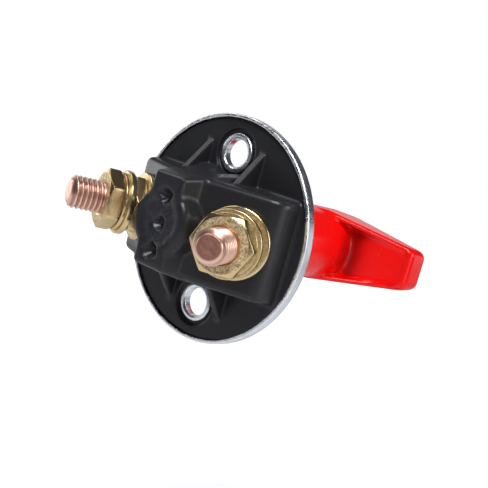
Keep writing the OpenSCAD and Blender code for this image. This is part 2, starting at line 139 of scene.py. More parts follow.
def turned(profile, cols, start=0.0):
    """A profile of (radius, height) rows carried round its axis: x = r cos a, y = r sin a, z = height."""
    a = start + np.arange(cols) / cols * TAU
    if profile.ndim == 2:
        profile = np.repeat(profile[:, None, :], cols, 1)
    r, z = profile[..., 0], profile[..., 1]
    return np.stack([r * np.cos(a), r * np.sin(a), z], -1).reshape(-1, 3)


def arc(cx, cy, r, a0, a1, n):
    """n + 1 points on a circle's arc from angle a0 to a1 in degrees."""
    a = np.radians(np.linspace(a0, a1, n + 1))
    return np.stack([cx + r * np.cos(a), cy + r * np.sin(a)], -1)


def rearward(points):
    """Turns a shape drawn along Z so that its axis runs to the rear: (x, y, z) to (x, z, -y)."""
    return np.stack([points[:, 0], points[:, 2], -points[:, 1]], -1)


def on_stud(points, side, s):
    """Tilts a shape about Y by the stud's splay, moves it to the stud's seat and turns it rearward."""
    a = side * s.splay
    x = points[:, 0] * np.cos(a) + points[:, 2] * np.sin(a) + side * s.seat_x * 1000
    z = -points[:, 0] * np.sin(a) + points[:, 2] * np.cos(a) + s.seat_y * 1000
    return rearward(np.stack([x, points[:, 1], z], -1))


def join_max(a, b, k):
    """Intersection of two fields, with the shared edge rounded over a width k: max plus a parabola."""
    h = np.maximum(k - np.abs(a - b), 0) / k
    return np.maximum(a, b) + h * h * k / 4


def join_min(a, b, k):
    """Union of two fields with a fillet of width k."""
    return -join_max(-a, -b, k)


def blended_solid(field, low, high, step):
    """Surface where a field of distances is zero. Each grid cell that the surface crosses gets one point, the
    mean of its edge crossings, pulled onto the surface along the field's gradient. Each crossed grid edge
    gets one quad."""
    axes = [np.arange(lo - 1.5 * step, hi + 2 * step, step) for lo, hi in zip(low, high)]
    value = field(*np.meshgrid(*axes, indexing="ij")).astype(np.float32)
    inside = value < 0
    count = np.zeros([n - 1 for n in value.shape], np.int8)
    corners = [(i, j, k) for i in (0, 1) for j in (0, 1) for k in (0, 1)]
    for i, j, k in corners:
        count += inside[i:inside.shape[0] - 1 + i, j:inside.shape[1] - 1 + j, k:inside.shape[2] - 1 + k]
    cell = np.argwhere((count > 0) & (count < 8))
    number = np.full(count.shape, -1, np.int64)
    number[tuple(cell.T)] = np.arange(len(cell))
    total, hits = np.zeros((len(cell), 3)), np.zeros((len(cell), 1))
    for a in corners:
        for axis in range(3):
            if a[axis]:
                continue
            b = tuple(a[n] + (n == axis) for n in range(3))
            va, vb = value[tuple((cell + a).T)], value[tuple((cell + b).T)]
            cross = (va < 0) != (vb < 0)
            t = np.where(cross, va / np.where(cross, va - vb, 1), 0)[:, None]
            total += np.where(cross[:, None], np.array(a) + t * (np.array(b) - np.array(a)), 0)
            hits += cross[:, None]
    points = np.array([ax[0] for ax in axes]) + (cell + total / hits) * step
    for _ in range(3):
        here = field(*points.T)
        slope = np.stack([field(*(points + d).T) - field(*(points - d).T)
                          for d in np.eye(3) * step * 0.2], -1) / (0.4 * step)
        pull = here[:, None] * slope / np.maximum((slope ** 2).sum(1, keepdims=True), 0.05)
        points -= np.clip(pull, -0.4 * step, 0.4 * step)
    quads = []
    for axis in range(3):
        u, v = [n for n in range(3) if n != axis]
        flip = axis == 1
        crossed = np.argwhere(np.diff(inside, axis=axis))
        crossed = crossed[(crossed[:, u] > 0) & (crossed[:, v] > 0)]
        ring = []
        for du, dv in ((0, 0), (1, 0), (1, 1), (0, 1)):
            at = crossed.copy()
            at[:, u] -= du
            at[:, v] -= dv
            ring.append(number[tuple(at.T)])
        ring = np.stack(ring, -1)
        outward = inside[tuple(crossed.T)] != flip
        ring[~outward] = ring[~outward][:, ::-1]
        quads.append(ring)
    return points, np.concatenate(quads)


# finishes

class Finish:
    """A material under construction: a Principled shader and short calls that add nodes in front of it."""

    def __init__(self, name, **values):
        self.material = bpy.data.materials.new("look_" + name)
        self.material.use_nodes = True
        self.tree = self.material.node_tree
        self.shader = self.tree.nodes["Principled BSDF"]
        self.place = self.add("ShaderNodeTexCoord").outputs["Object"]
        for socket, value in values.items():
            self.shader.inputs[socket.replace("_", " ")].default_value = value

    def add(self, kind, **inputs):
        node = self.tree.nodes.new(kind)
        for key, value in inputs.items():
            self.feed(node.inputs[key.replace("_", " ")], value)
        return node

    def feed(self, socket, value):
        if isinstance(value, bpy.types.NodeSocket):
            self.tree.links.new(value, socket)
        else:
            socket.default_value = value

    def noise(self, scale, detail=4.0, rough=0.55, stretch=None, distort=0.0):
        place = self.place
        if stretch:
            place = self.add("ShaderNodeMapping", Vector=place, Scale=stretch).outputs[0]
        node = self.add("ShaderNodeTexNoise", Vector=place, Scale=scale, Detail=detail, Roughness=rough,
                        Distortion=distort)
        return node.outputs["Fac"]

    def cells(self, scale):
        return self.add("ShaderNodeTexVoronoi", Vector=self.place, Scale=scale).outputs["Distance"]

    def ramp(self, value, *stops):
        node = self.add("ShaderNodeValToRGB", Fac=value)
        while len(node.color_ramp.elements) < len(stops):
            node.color_ramp.elements.new(0.5)
        for element, (at, colour) in zip(node.color_ramp.elements, stops):
            element.position = at
            element.color = (*colour, 1) if isinstance(colour, tuple) else (colour, colour, colour, 1)
        return node.outputs["Color"]

    def span(self, value, a0, a1, b0, b1):
        return self.add("ShaderNodeMapRange", Value=value, From_Min=a0, From_Max=a1, To_Min=b0,
                        To_Max=b1).outputs[0]

    def sum(self, a, b, how="ADD"):
        node = self.add("ShaderNodeMath")
        node.operation = how
        self.feed(node.inputs[0], a)
        self.feed(node.inputs[1], b)
        return node.outputs[0]

    def blend(self, part, a, b, how="MIX"):
        node = self.add("ShaderNodeMix")
        node.data_type, node.blend_type = "RGBA", how
        self.feed(node.inputs["Factor"], part)
        self.feed(node.inputs[6], a if isinstance(a, bpy.types.NodeSocket) else (*a, 1))
        self.feed(node.inputs[7], b if isinstance(b, bpy.types.NodeSocket) else (*b, 1))
        return node.outputs[2]

    def mark(self, name):
        node = self.add("ShaderNodeAttribute")
        node.attribute_name = name
        return node.outputs["Fac"]

    def bump(self, height, distance, strength=1.0):
        before = self.shader.inputs["Normal"]
        link = before.links[0].from_socket if before.links else None
        node = self.add("ShaderNodeBump", Height=height, Distance=distance, Strength=strength)
        if link:
            self.feed(node.inputs["Normal"], link)
        self.feed(before, node.outputs[0])

    def colour(self, value):
        self.feed(self.shader.inputs["Base Color"], value)

    def roughness(self, value):
        self.feed(self.shader.inputs["Roughness"], value)


def shade(colour, k):
    """A colour made lighter or darker by k."""
    return tuple(min(c * k, 1.0) for c in colour)


def black_nylon(c):
    """Moulded nylon: faint flow marks, fine grain, a few dust specks, and in the boss's rough dish a mottled
    bluish haze that is a painted sheen.
    """
    f = Finish("black_nylon", Specular_IOR_Level=0.33)
    flow = f.noise(38, 5, 0.6, stretch=(1, 0.45, 1))
    specks = f.ramp(f.cells(620), (0.0, 1.0), (0.035, 0.0))
    dust = f.sum(specks, f.ramp(f.noise(95, 3), (0.56, 0.0), (0.7, 1.0)), "MULTIPLY")
    base = f.blend(flow, shade(c.nylon, 0.75), shade(c.nylon, 1.4))
    base = f.blend(f.sum(dust, 0.35, "MULTIPLY"), base, (0.16, 0.16, 0.17))
    clouds = f.ramp(f.noise(520, 4, 0.6, distort=1.0), (0.42, 0.0), (0.66, 1.0))
    # painted sheen: where marked rough, mottled clouds lighten the black to a bluish grey
    base = f.blend(f.sum(clouds, f.mark("rough"), "MULTIPLY"), base, (0.035, 0.035, 0.052))
    f.colour(base)
    f.roughness(f.sum(f.span(flow, 0.3, 0.7, 0.26, 0.38), f.sum(f.mark("rough"), -0.04, "MULTIPLY")))
    f.bump(f.noise(1500, 2, 0.5), 0.00002, 0.5)
    f.bump(f.noise(150, 3, 0.5), 0.0001, 0.3)
    f.bump(f.sum(f.noise(420, 4, 0.6, distort=1.2), f.mark("rough"), "MULTIPLY"), 0.00022, 0.9)
    return f.material


def bright_zinc(c):
    """Bright zinc plate: bluish base, cloudy passivation and scuffed bare spots on the lip."""
    f = Finish("bright_zinc", Metallic=1.0)
    cloud = f.noise(70, 5, 0.6)
    scuff = f.ramp(f.noise(420, 5, 0.75, distort=0.6), (0.46, 0.0), (0.6, 1.0))
    worn = f.sum(scuff, f.mark("lip"), "MULTIPLY")
    base = f.blend(cloud, shade(c.zinc, 0.86), shade(c.zinc, 1.06))
    f.colour(f.blend(worn, base, (0.93, 0.93, 0.94)))
    f.roughness(f.sum(f.span(cloud, 0.3, 0.7, 0.2, 0.32), f.sum(worn, 0.22, "MULTIPLY")))
    f.bump(f.noise(260, 4, 0.6), 0.00008, 0.5)
    f.bump(worn, 0.00005, 0.8)
    return f.material


def copper(c):
    """Rolled copper thread, bright on the crests with painted shade in its roots, and a dull rose-brown sawn
    end.
    """
    f = Finish("stud_copper", Metallic=1.0)
    cloud = f.noise(240, 5, 0.6)
    grain = f.noise(1400, 4, 0.7)
    end, root_shade = f.mark("end"), f.mark("root_shade")
    base = f.blend(cloud, shade(c.copper, 0.86), shade(c.copper, 1.08))
    # painted shade: the thread roots darken towards the end colour
    base = f.blend(f.sum(root_shade, 0.8, "MULTIPLY"), base, shade(c.copper_end, 0.8))
    worn = f.blend(grain, shade(c.copper_end, 0.65), shade(c.copper_end, 1.35))
    # the dull sawn-end colour; on the right stud it is laid on at a quarter, a painted highlight
    f.colour(f.blend(end, base, worn))
    f.roughness(f.sum(f.span(cloud, 0.3, 0.7, 0.3, 0.42), f.sum(end, 0.06, "MULTIPLY")))
    f.bump(grain, 0.00006, 0.35)
    f.bump(f.sum(f.noise(800, 5, 0.75, distort=0.8), end, "MULTIPLY"), 0.0003, 0.8)
    return f.material


def yellow_zinc(c):
    """Yellow passivated steel: sandy matt faces with dark specks, and bright sides with soft clouds."""
    f = Finish("yellow_zinc", Metallic=1.0)
    grain = f.noise(1500, 5, 0.85)
    cloud = f.noise(130, 4, 0.6)
    matt = f.mark("matt")
    base = f.blend(cloud, c.brass, c.brass_shade)
    sand = f.blend(f.ramp(grain, (0.42, 0.0), (0.56, 1.0)), shade(c.brass_shade, 0.5), shade(c.brass, 1.12))
    spots = f.sum(f.ramp(f.noise(1000, 3, 0.6, distort=0.5), (0.56, 0.0), (0.62, 0.8)), matt, "MULTIPLY")
    base = f.blend(f.sum(matt, 0.9, "MULTIPLY"), base, sand)
    f.colour(f.blend(spots, base, shade(c.brass_shade, 0.42)))
    f.feed(f.shader.inputs["Metallic"], f.span(matt, 0.0, 1.0, 1.0, 0.45))
    f.roughness(f.sum(f.span(cloud, 0.3, 0.7, 0.16, 0.28), f.sum(matt, 0.22, "MULTIPLY")))
    f.bump(f.sum(grain, f.sum(matt, 0.25), "MULTIPLY"), 0.0001, 0.7)
    f.bump(f.noise(300, 3), 0.00006, 0.35)
    return f.material


def red_plastic(c):
    """Glossy moulded plastic: faint flow marks, fine scratches and painted shade in the valley where the bar
    meets the shaft.
    """
    f = Finish("red_plastic", Specular_IOR_Level=0.35)
    flow = f.noise(30, 4, 0.6, stretch=(1, 0.4, 1))
    lines = f.ramp(f.noise(220, 3, 0.6, stretch=(1, 9, 0.6)), (0.6, 0.0), (0.72, 1.0))
    base = f.blend(flow, shade(c.red, 0.9), shade(c.red, 1.1))
    # painted shade: the red darkens to 0.4 of itself in the valley beside the shaft
    f.colour(f.blend(f.mark("painted_shade"), base, shade(c.red, 0.4)))
    f.roughness(f.sum(f.span(flow, 0.3, 0.7, 0.18, 0.28), f.sum(lines, 0.1, "MULTIPLY")))
    f.bump(f.noise(140, 3), 0.0001, 0.35)
    f.bump(f.noise(1600, 2), 0.00002, 0.4)
    return f.material


def plain_finish(name, colour, rough, metallic=0.0, grain=900):
    """A quiet finish for the inner pieces: slight colour clouds and a fine grain."""
    f = Finish(name, Metallic=metallic)
    cloud = f.noise(110, 4)
    f.colour(f.blend(cloud, shade(colour, 0.82), shade(colour, 1.12)))
    f.roughness(f.span(cloud, 0.3, 0.7, rough * 0.8, rough * 1.2))
    f.bump(f.noise(grain, 3), 0.00003, 0.4)
    return f.material


def finish(name):
    """The named material, made once."""
    found = bpy.data.materials.get("look_" + name)
    if found:
        return found
    c = bpy.context.scene.switch_colours
    makers = {
        "black_nylon": black_nylon, "bright_zinc": bright_zinc, "stud_copper": copper,
        "yellow_zinc": yellow_zinc, "red_plastic": red_plastic,
        "bush_nylon": lambda c: plain_finish("bush_nylon", c.bush, 0.45),
        "rotor_nylon": lambda c: plain_finish("rotor_nylon", c.rotor, 0.4),
        "seal_rubber": lambda c: plain_finish("seal_rubber", c.rubber, 0.6),
        "spring_steel": lambda c: plain_finish("spring_steel", c.steel, 0.28, 1.0, 1400),
        "bridge_copper": lambda c: plain_finish("bridge_copper", c.copper, 0.3, 1.0, 1400),
    }
    return makers[name](c)


# sizes and colours

def length(name, description, millimetres):
    """A length property with its default given in millimetres."""
    return bpy.props.FloatProperty(name=name, description=description, default=millimetres / 1000, min=0.0,
                                   unit="LENGTH", precision=5)


def tint(name, description, colour):
    """A colour property."""
    return bpy.props.FloatVectorProperty(name=name, description=description, default=colour, size=3,
                                         subtype="COLOR", min=0.0, max=1.0)


class SwitchSizes(bpy.types.PropertyGroup):
    """Sizes of the visible surfaces. They follow the solids of the frame."""
    splay: bpy.props.FloatProperty(name="Stud splay", description="Angle of each stud to the switch axis",
                                   default=float(np.radians(24.5)), subtype="ANGLE")
    seat_x: length("Seat offset", "Distance of a stud seat from the switch axis", 19.3)
    seat_y: length("Seat height", "Distance of a stud seat from the panel face", 15.1)
    stud_r: length("Stud radius", "Outer radius of the thread", 4.95)
    stud_out: length("Stud length", "Length of a stud beyond its seat", 24.1)
    pitch: length("Thread pitch", "Rise of the thread in one turn", 1.5)
    depth: length("Thread depth", "Depth of the rolled thread", 0.6)
    nut_af: length("Nut size", "Width across the flats of a nut", 16.2)
    step: length("Mesh step", "Grid step of the moulded surfaces", 0.46)
    key_step: length("Key mesh step", "Grid step of the key's surface", 0.55)
    end_round: length("End rounding", "Rounding between the sloping face and the end wall", 3.8)
    edge_round: length("Edge rounding", "Rounding of the other box edges", 2.4)
    fillet: length("Foot fillet", "Fillet between the box and the flange", 1.2)


class SwitchColours(bpy.types.PropertyGroup):
    """Base colours of the finishes."""
    nylon: tint("Black nylon", "Moulded housing", (0.021, 0.021, 0.0235))
    zinc: tint("Bright zinc", "Cover plate and eyelets", (0.84, 0.87, 0.93))
    copper: tint("Copper", "Thread of the studs", (0.96, 0.63, 0.5))
    copper_end: tint("Stud end", "Sawn end of the studs", (0.45, 0.21, 0.16))
    brass: tint("Yellow zinc", "Nuts and washers", (0.84, 0.67, 0.39))
    brass_shade: tint("Yellow zinc shade", "Darker clouds of the nuts and washers", (0.64, 0.46, 0.22))
    red: tint("Red", "Key", (0.9, 0.003, 0.002))
    bush: tint("Bush", "Guide bush", (0.03, 0.03, 0.032))
    rotor: tint("Rotor", "Rotor and carrier", (0.62, 0.58, 0.5))
    rubber: tint("Rubber", "Rotor seal", (0.02, 0.02, 0.02))
    steel: tint("Spring steel", "Springs and clip", (0.62, 0.63, 0.65))


# pieces

def housing_field(s):
    """Field of the housing: flange, gabled box, ridge, round boss and gussets joined with fillets, less its
    recesses, pits, stud holes and the contact chamber. Negative inside, in millimetres."""
    tan, cos, sin = np.tan(s.splay), np.cos(s.splay), np.sin(s.splay)
    seat_x, seat_y = s.seat_x * 1000, s.seat_y * 1000
    low, top, flange_r = HOUSING[0][1], HOUSING[1][1], HOUSING[1][0]
    end_k, edge_k, fillet = s.end_round * 1000, s.edge_round * 1000, s.fillet * 1000
    flange_top, box_end, box_side = 3.08, 29.4, 15.35
    ridge_half, ridge_reach, ridge_draft = 5.8, 13.6, 0.18
    boss_x, boss_radius, boss_round = 0.25, 10.4, 3.2
    gusset_x, gusset_half, gusset_root = 10.6, 1.1, 12.5
    crest_z, crest_y, crest_fall, crest_run = 15.0, 12.6, 9.5, 11.0
    flare_recess, seat_r, stud_hole, stud_hole_depth = 7.3, 10.65, 4.57, 8
    dish_r, dish_depth = 6.0, 0.7
    pit_r, pit_depth, pits = 0.9, 2.6, ((-0.1, 7.0), (0.1, -0.9), (0.4, -8.8))
    chamber_end, chamber_side, wall, cam_r, cam_top = 24.7, 6.45, 2.6, 9.5, 6.2
    spring_r, post_r, post_y, guide_r = 6.15, 3.9, 15.6, 2.56
    mouth_end, mouth_side, mouth_top = 26.35, 12.35, 2.24

    def field(x, y, z):
        ax, az, r = np.abs(x), np.abs(z), np.hypot(x, z)
        flange = join_max(r - flange_r, y - flange_top, 0.9)
        slope = (y - seat_y - (seat_x - ax) * tan) * cos
        box = join_max(ax - box_end + y * 0.035, slope, end_k)
        box = join_max(box, az - box_side + np.minimum(y, 12) * 0.025, edge_k)
        body = join_min(flange, box, fillet)
        ridge = join_max(ax - ridge_half - (top - y) * ridge_draft, y - top, 1.1)
        ridge = join_max(ridge, (az - ridge_reach - (top - y) * ridge_draft) * 0.98, 1.3)
        boss_r = np.hypot(x - boss_x, z)
        boss = join_max(boss_r - boss_radius - (top - y) * 0.03, y - top, boss_round)
        body = join_min(body, join_min(ridge, boss, 0.9), 0.9)
        crest = ((az - crest_z) * crest_fall + (y - crest_y) * crest_run) / np.hypot(crest_fall, crest_run)
        gusset = join_max(np.abs(ax - gusset_x) - gusset_half + (y - 3) * 0.02, crest, 0.7)
        body = join_min(body, np.maximum(gusset, gusset_root - az), 0.6)
        body = np.maximum(body, low - y)
        for side in (-1, 1):
            e = np.hypot(x, z - side * EYELET_AT)
            body = join_max(body, -np.maximum(e - flare_recess, FLARE_SEAT - 0.02 - y), 0.35)
            body = np.maximum(body, EYELET_HOLE - e)
            along = (x - side * seat_x) * sin * side + (y - seat_y) * cos
            px = x - side * seat_x - along * sin * side
            py = y - seat_y - along * cos
            off = np.sqrt(px * px + py * py + z * z)
            body = np.maximum(body, stud_hole - off - 20 * (along < -stud_hole_depth))
            body = join_max(body, -np.maximum(off - seat_r, -along), 0.25)
        dish = np.maximum((boss_r - dish_r - (y - top + dish_depth) * 2.4) * 0.4, top - dish_depth - y)
        body = join_max(body, -dish, 1.3)
        for n, (pit_x, pit_z) in enumerate(pits):
            u, v = x - pit_x, z - pit_z
            a = np.arctan2(v, u)
            wobble = 1 + 0.1 * np.sin(3 * a + n * 2.1) + 0.05 * np.sin(5 * a + n)
            reach = (pit_r + (y - top + pit_depth) * 0.8) * wobble
            pit = np.maximum((np.hypot(u, v) - reach) * 0.78, top - pit_depth - y)
            body = join_max(body, -pit, 0.5)
        chamber = np.maximum(np.maximum(ax - chamber_end, az - chamber_side), slope + wall)
        chamber = np.minimum(chamber, np.maximum(r - cam_r, y - cam_top))
        bore = np.maximum(r - spring_r, y - (top - 3.0))
        bore = np.maximum(bore, -np.maximum(r - post_r, post_y - y))
        bore = np.minimum(bore, np.maximum(r - guide_r, y - (top - 3.4)))
        chamber = np.minimum(chamber, bore)
        mouth = np.maximum(np.maximum(ax - mouth_end, az - mouth_side), y - mouth_top)
        return np.maximum(body, -np.minimum(chamber, mouth))
    return field


class SWITCH_OT_housing(bpy.types.Operator):
    """Builds the moulded black housing from its blended field"""
    bl_idname = "switch.housing"
    bl_label = "Housing"

    def execute(self, context):
        s = context.scene.switch_sizes
        points, quads = blended_solid(housing_field(s), HOUSING[0], HOUSING[1], s.step * 1000)
        x, y, z = points.T
        points = np.clip(points, HOUSING[0] + 0.001, HOUSING[1] - 0.001)
        high = y > HOUSING[1][1] - 2.6
        in_dish = np.clip((8.8 - np.hypot(x, z)) / 2.4, 0, 1) * high
        on_ridge = (np.abs(x) < 5.6) & high
        # rough marks the mottled dish and the ridge top: real gloss and bumps, and a painted bluish sheen in
        # the colour
        rough = np.clip(in_dish * 0.8 + on_ridge * 0.25, 0, 1)
        thing = piece("moulded_housing", points, quads, {"rough": rough}, merge=False, crease=0)
        settle(thing, "housing", finish("black_nylon"))
        return {"FINISHED"}


class SWITCH_OT_cover_plate(bpy.types.Operator):
    """Builds the pressed cover plate with its rolled rim and front collar"""
    bl_idname = "switch.cover_plate"
    bl_label = "Cover plate"

    def execute(self, context):
        outer, front, lip = PLATE[1][0], PLATE[0][1], PLATE[1][1]
        inner, sheet, curl = outer - 0.9, 1.2, 0.55
        bore, collar, inside, floor = 10.7, 15.3, 14.1, 3.1
        rows = np.concatenate([
            [[bore, front + 0.15], [bore + 0.15, front]],
            arc(collar - 1, front + 1, 1, -90, 0, 8),
            arc(collar + 0.8, -0.8, 0.8, 180, 90, 6),
            [[22.0, 0.0]],
            arc(outer - sheet, sheet, sheet, -90, 0, 12),
            arc(outer - curl, lip - 0.62, curl, 0, 80, 8),
            [[outer - 0.9, lip - 0.02], [outer - 1.1, lip - 0.12], [inner - 0.23, lip - 0.35]],
            [[inner - 0.2, floor + 0.02], [inner, floor], [inner, 1.25], [inside, sheet]],
            [[inside, front + sheet], [bore, front + sheet], [bore, front + 0.15]]])
        cols = 320
        profile = np.repeat(rows[:, None, :], cols, 1)
        a = np.arange(cols) / cols * TAU
        wave = 0.035 * np.sin(7 * a + 1) + 0.03 * np.sin(17 * a) + 0.025 * np.sin(41 * a + 2)
        rolled = (rows[:, 1] > 3.05) & (rows[:, 0] < outer - 0.4)
        profile[..., 0] += rolled[:, None] * wave
        mark = np.clip((rows[:, 1] - 2.9) / 0.6, 0, 1) * (rows[:, 0] > 30)
        points = rearward(turned(profile[:-1], cols))
        quads = grid_quads(len(rows) - 1, cols, wrap_rows=True)
        thing = piece("pressed_cover_plate", points, quads, {"lip": np.repeat(mark[:-1], cols)}, crease=50)
        for side in (-1, 1):
            for r, near, far in ((6.25, -1.0, 0.6), (EYELET_HOLE, -1.0, 4.0)):
                tube = np.array([[0, near], [r, near], [r, far], [0, far]])
                ring = turned(tube, 96)
                ring[:, 1] -= side * EYELET_AT
                cutter = piece("cutter", rearward(ring), grid_quads(4, 96), crease=30)
                cut = thing.modifiers.new("hole", "BOOLEAN")
                cut.object, cut.operation, cut.solver = cutter, "DIFFERENCE", "EXACT"
                done = thing.evaluated_get(context.evaluated_depsgraph_get())
                shape = bpy.data.meshes.new_from_object(done)
                thing.modifiers.clear()
                thing.data = shape
                bpy.data.objects.remove(cutter)
        shape.set_sharp_from_angle(angle=np.radians(40))
        settle(thing, "cover_plate", finish("bright_zinc"))
        return {"FINISHED"}


class SWITCH_OT_eyelets(bpy.types.Operator):
    """Builds the two tubular rivets with their rolled flares"""
    bl_idname = "switch.eyelets"
    bl_label = "Eyelets"

    def execute(self, context):
        bore, wall, flare, seat, foot, foot_top = 4.3, 4.9, 6.1, FLARE_SEAT, 0.02, 0.58
        roll = arc((flare + bore) / 2, seat + 0.2, (flare - bore) / 2, 0, 180, 18)
        roll[:, 1] = seat + 0.2 + (roll[:, 1] - seat - 0.2) * 0.88
        roll[:, 1] -= 0.1 * np.exp(-((roll[:, 0] - 5.45) / 0.12) ** 2)
        rows = np.concatenate([
            [[bore + 0.3, foot], [flare - 0.15, foot], [flare, 0.15], [flare, foot_top], [wall, foot_top]],
            [[wall, seat], [flare - 0.1, seat], [flare, seat + 0.1]], roll, [[bore, 0.3]]])
        mark = np.clip((rows[:, 1] - seat - 0.1) / 0.5, 0, 1)
        cols = 128
        for node, side in (("upper_eyelet", -1), ("lower_eyelet", 1)):
            points = turned(rows, cols)
            points[:, 1] += side * EYELET_AT
            thing = piece("rolled_" + node, rearward(points), grid_quads(len(rows), cols, wrap_rows=True),
                          {"lip": np.repeat(mark, cols) * 0.6}, crease=45)
            settle(thing, node, finish("bright_zinc"))
        return {"FINISHED"}


class SWITCH_OT_studs(bpy.types.Operator):
    """Builds the threaded copper studs with their slanted contact heads"""
    bl_idname = "switch.studs"
    bl_label = "Studs"

    def execute(self, context):
        s = context.scene.switch_sizes
        r, tip, pitch, depth = s.stud_r * 1000, s.stud_out * 1000, s.pitch * 1000, s.depth * 1000
        cols, head_r, head_back, thread_from = 144, 6.1, -2.62, 13.5
        a = np.arange(cols) / cols * TAU
        for node, side in (("left_stud", -1), ("right_stud", 1)):
            tilt = side * s.splay
            contact = (CONTACT_PLANE - s.seat_y * 1000 + head_r * np.cos(a) * np.sin(tilt)) / np.cos(tilt)
            core = (CONTACT_PLANE - s.seat_y * 1000) / np.cos(tilt)
            head = np.stack([np.stack([np.zeros(cols), np.full(cols, core)], -1),
                             np.stack([np.full(cols, head_r), contact], -1),
                             np.stack([np.full(cols, head_r), np.full(cols, head_back)], -1),
                             np.stack([np.full(cols, STUD_CORE), np.full(cols, head_back)], -1),
                             np.stack([np.full(cols, STUD_CORE), np.full(cols, thread_from - 0.2)], -1)])
            k = np.arange(thread_from, tip - 0.25, 0.1)
            turn = np.mod((k[:, None] - pitch * a[None] / TAU) / pitch, 1)
            groove = np.clip(np.abs(2 * turn - 1) * 1.3 - 0.18, 0, 1)
            groove = groove * groove * (3 - 2 * groove)
            rise = np.clip((k - thread_from - 0.4) / 0.6, 0, 1)[:, None]
            radius = STUD_CORE + (r - depth * groove - STUD_CORE) * rise
            bevel = r + 0.1 - np.clip(k - (tip - 1.15), 0, 9)[:, None] * 1.75
            radius = np.minimum(radius, bevel)
            thread = np.stack([radius, np.repeat(k[:, None], cols, 1)], -1)
            last = radius[-1]
            sawn = ((0.985, 0.12), (0.955, 0.04), (0.9, 0.0), (0.6, 0.0), (0.3, 0.02), (0.0, 0.03))
            end = np.stack([np.stack([last * w, np.full(cols, tip - d)], -1) for w, d in sawn])
            profile = np.concatenate([head, thread, end])
            # painted shade in the thread's grooves, as deep as each groove
            root_shade = np.concatenate([np.zeros((5, cols)), groove * rise, np.zeros((6, cols))])
            # the right stud's sawn end takes only a quarter of the dull end colour: a painted highlight that
            # pales it
            face = np.concatenate([np.zeros(5 + len(k)), [0.0, 0.55, 1, 1, 1, 1]]) * (1 if side < 0 else 0.25)
            points = on_stud(turned(profile, cols), side, s)
            thing = piece("threaded_" + node, points, grid_quads(len(profile), cols),
                          {"root_shade": root_shade.ravel(), "end": np.repeat(face, cols)}, crease=50)
            settle(thing, node, finish("stud_copper"))
        return {"FINISHED"}


def hex_profile(apothem, thickness, turn, cols, bore=4.58, face=0.3):
    """Section of a chamfered hexagon nut in each direction: bore, face, chamfer, flat side and back. The side
    lies at apothem / cos(angle from the flat's middle), with the corners slightly rounded."""
    a = turn + np.arange(cols) / cols * TAU
    off = np.mod(a - turn, TAU / 6) - TAU / 12
    corner = apothem / np.cos(TAU / 12)
    side = -join_max(-apothem / np.cos(off), np.full(cols, -(corner - 0.1)), 0.3)
    inner = apothem - face
    drop = (side - inner) * np.tan(np.radians(27))
    full = np.ones(cols)
    rows = [(full * bore, full * 0.3), (full * (bore + 0.75), full * 0.0), (full * inner, full * 0.0),
            (side, drop), (side, thickness - drop), (full * inner, full * thickness),
            (full * (bore + 0.85), full * thickness), (full * bore, full * (thickness - 0.5)),
            (full * bore, full * 0.3)]
    return np.stack([np.stack(row, -1) for row in rows]), a[0]


class SWITCH_OT_nuts(bpy.types.Operator):
    """Builds the four chamfered hexagon nuts"""
    bl_idname = "switch.nuts"
    bl_label = "Nuts"

    def execute(self, context):
        s = context.scene.switch_sizes
        cols = 240
        lower, upper = (2.14, 4.05), (9.2, 4.9)
        plans = (("left_lower_nut", -1, lower, 40), ("left_top_nut", -1, upper, 3.5),
                 ("right_lower_nut", 1, lower, 12), ("right_top_nut", 1, upper, -28.2))
        for node, side, (k, t), turn in plans:
            sharp, start = hex_profile(s.nut_af * 500, t, np.radians(turn), cols)
            profile = soften(sharp, 0.16)
            inner = s.nut_af * 500 - 0.3
            flat = (np.abs(profile[..., 1] - t) < 0.02) | (np.abs(profile[..., 1]) < 0.02)
            matt = flat & (profile[..., 0] < inner - 0.1) & (profile[..., 0] > 5.3)
            points = turned(profile[:-1], cols, start)
            points[:, 2] += k
            quads = grid_quads(len(profile) - 1, cols, wrap_rows=True)
            thing = piece("hexagon_" + node, on_stud(points, side, s), quads,
                          {"matt": matt[:-1].ravel()}, crease=35)
            settle(thing, node, finish("yellow_zinc"))
        return {"FINISHED"}


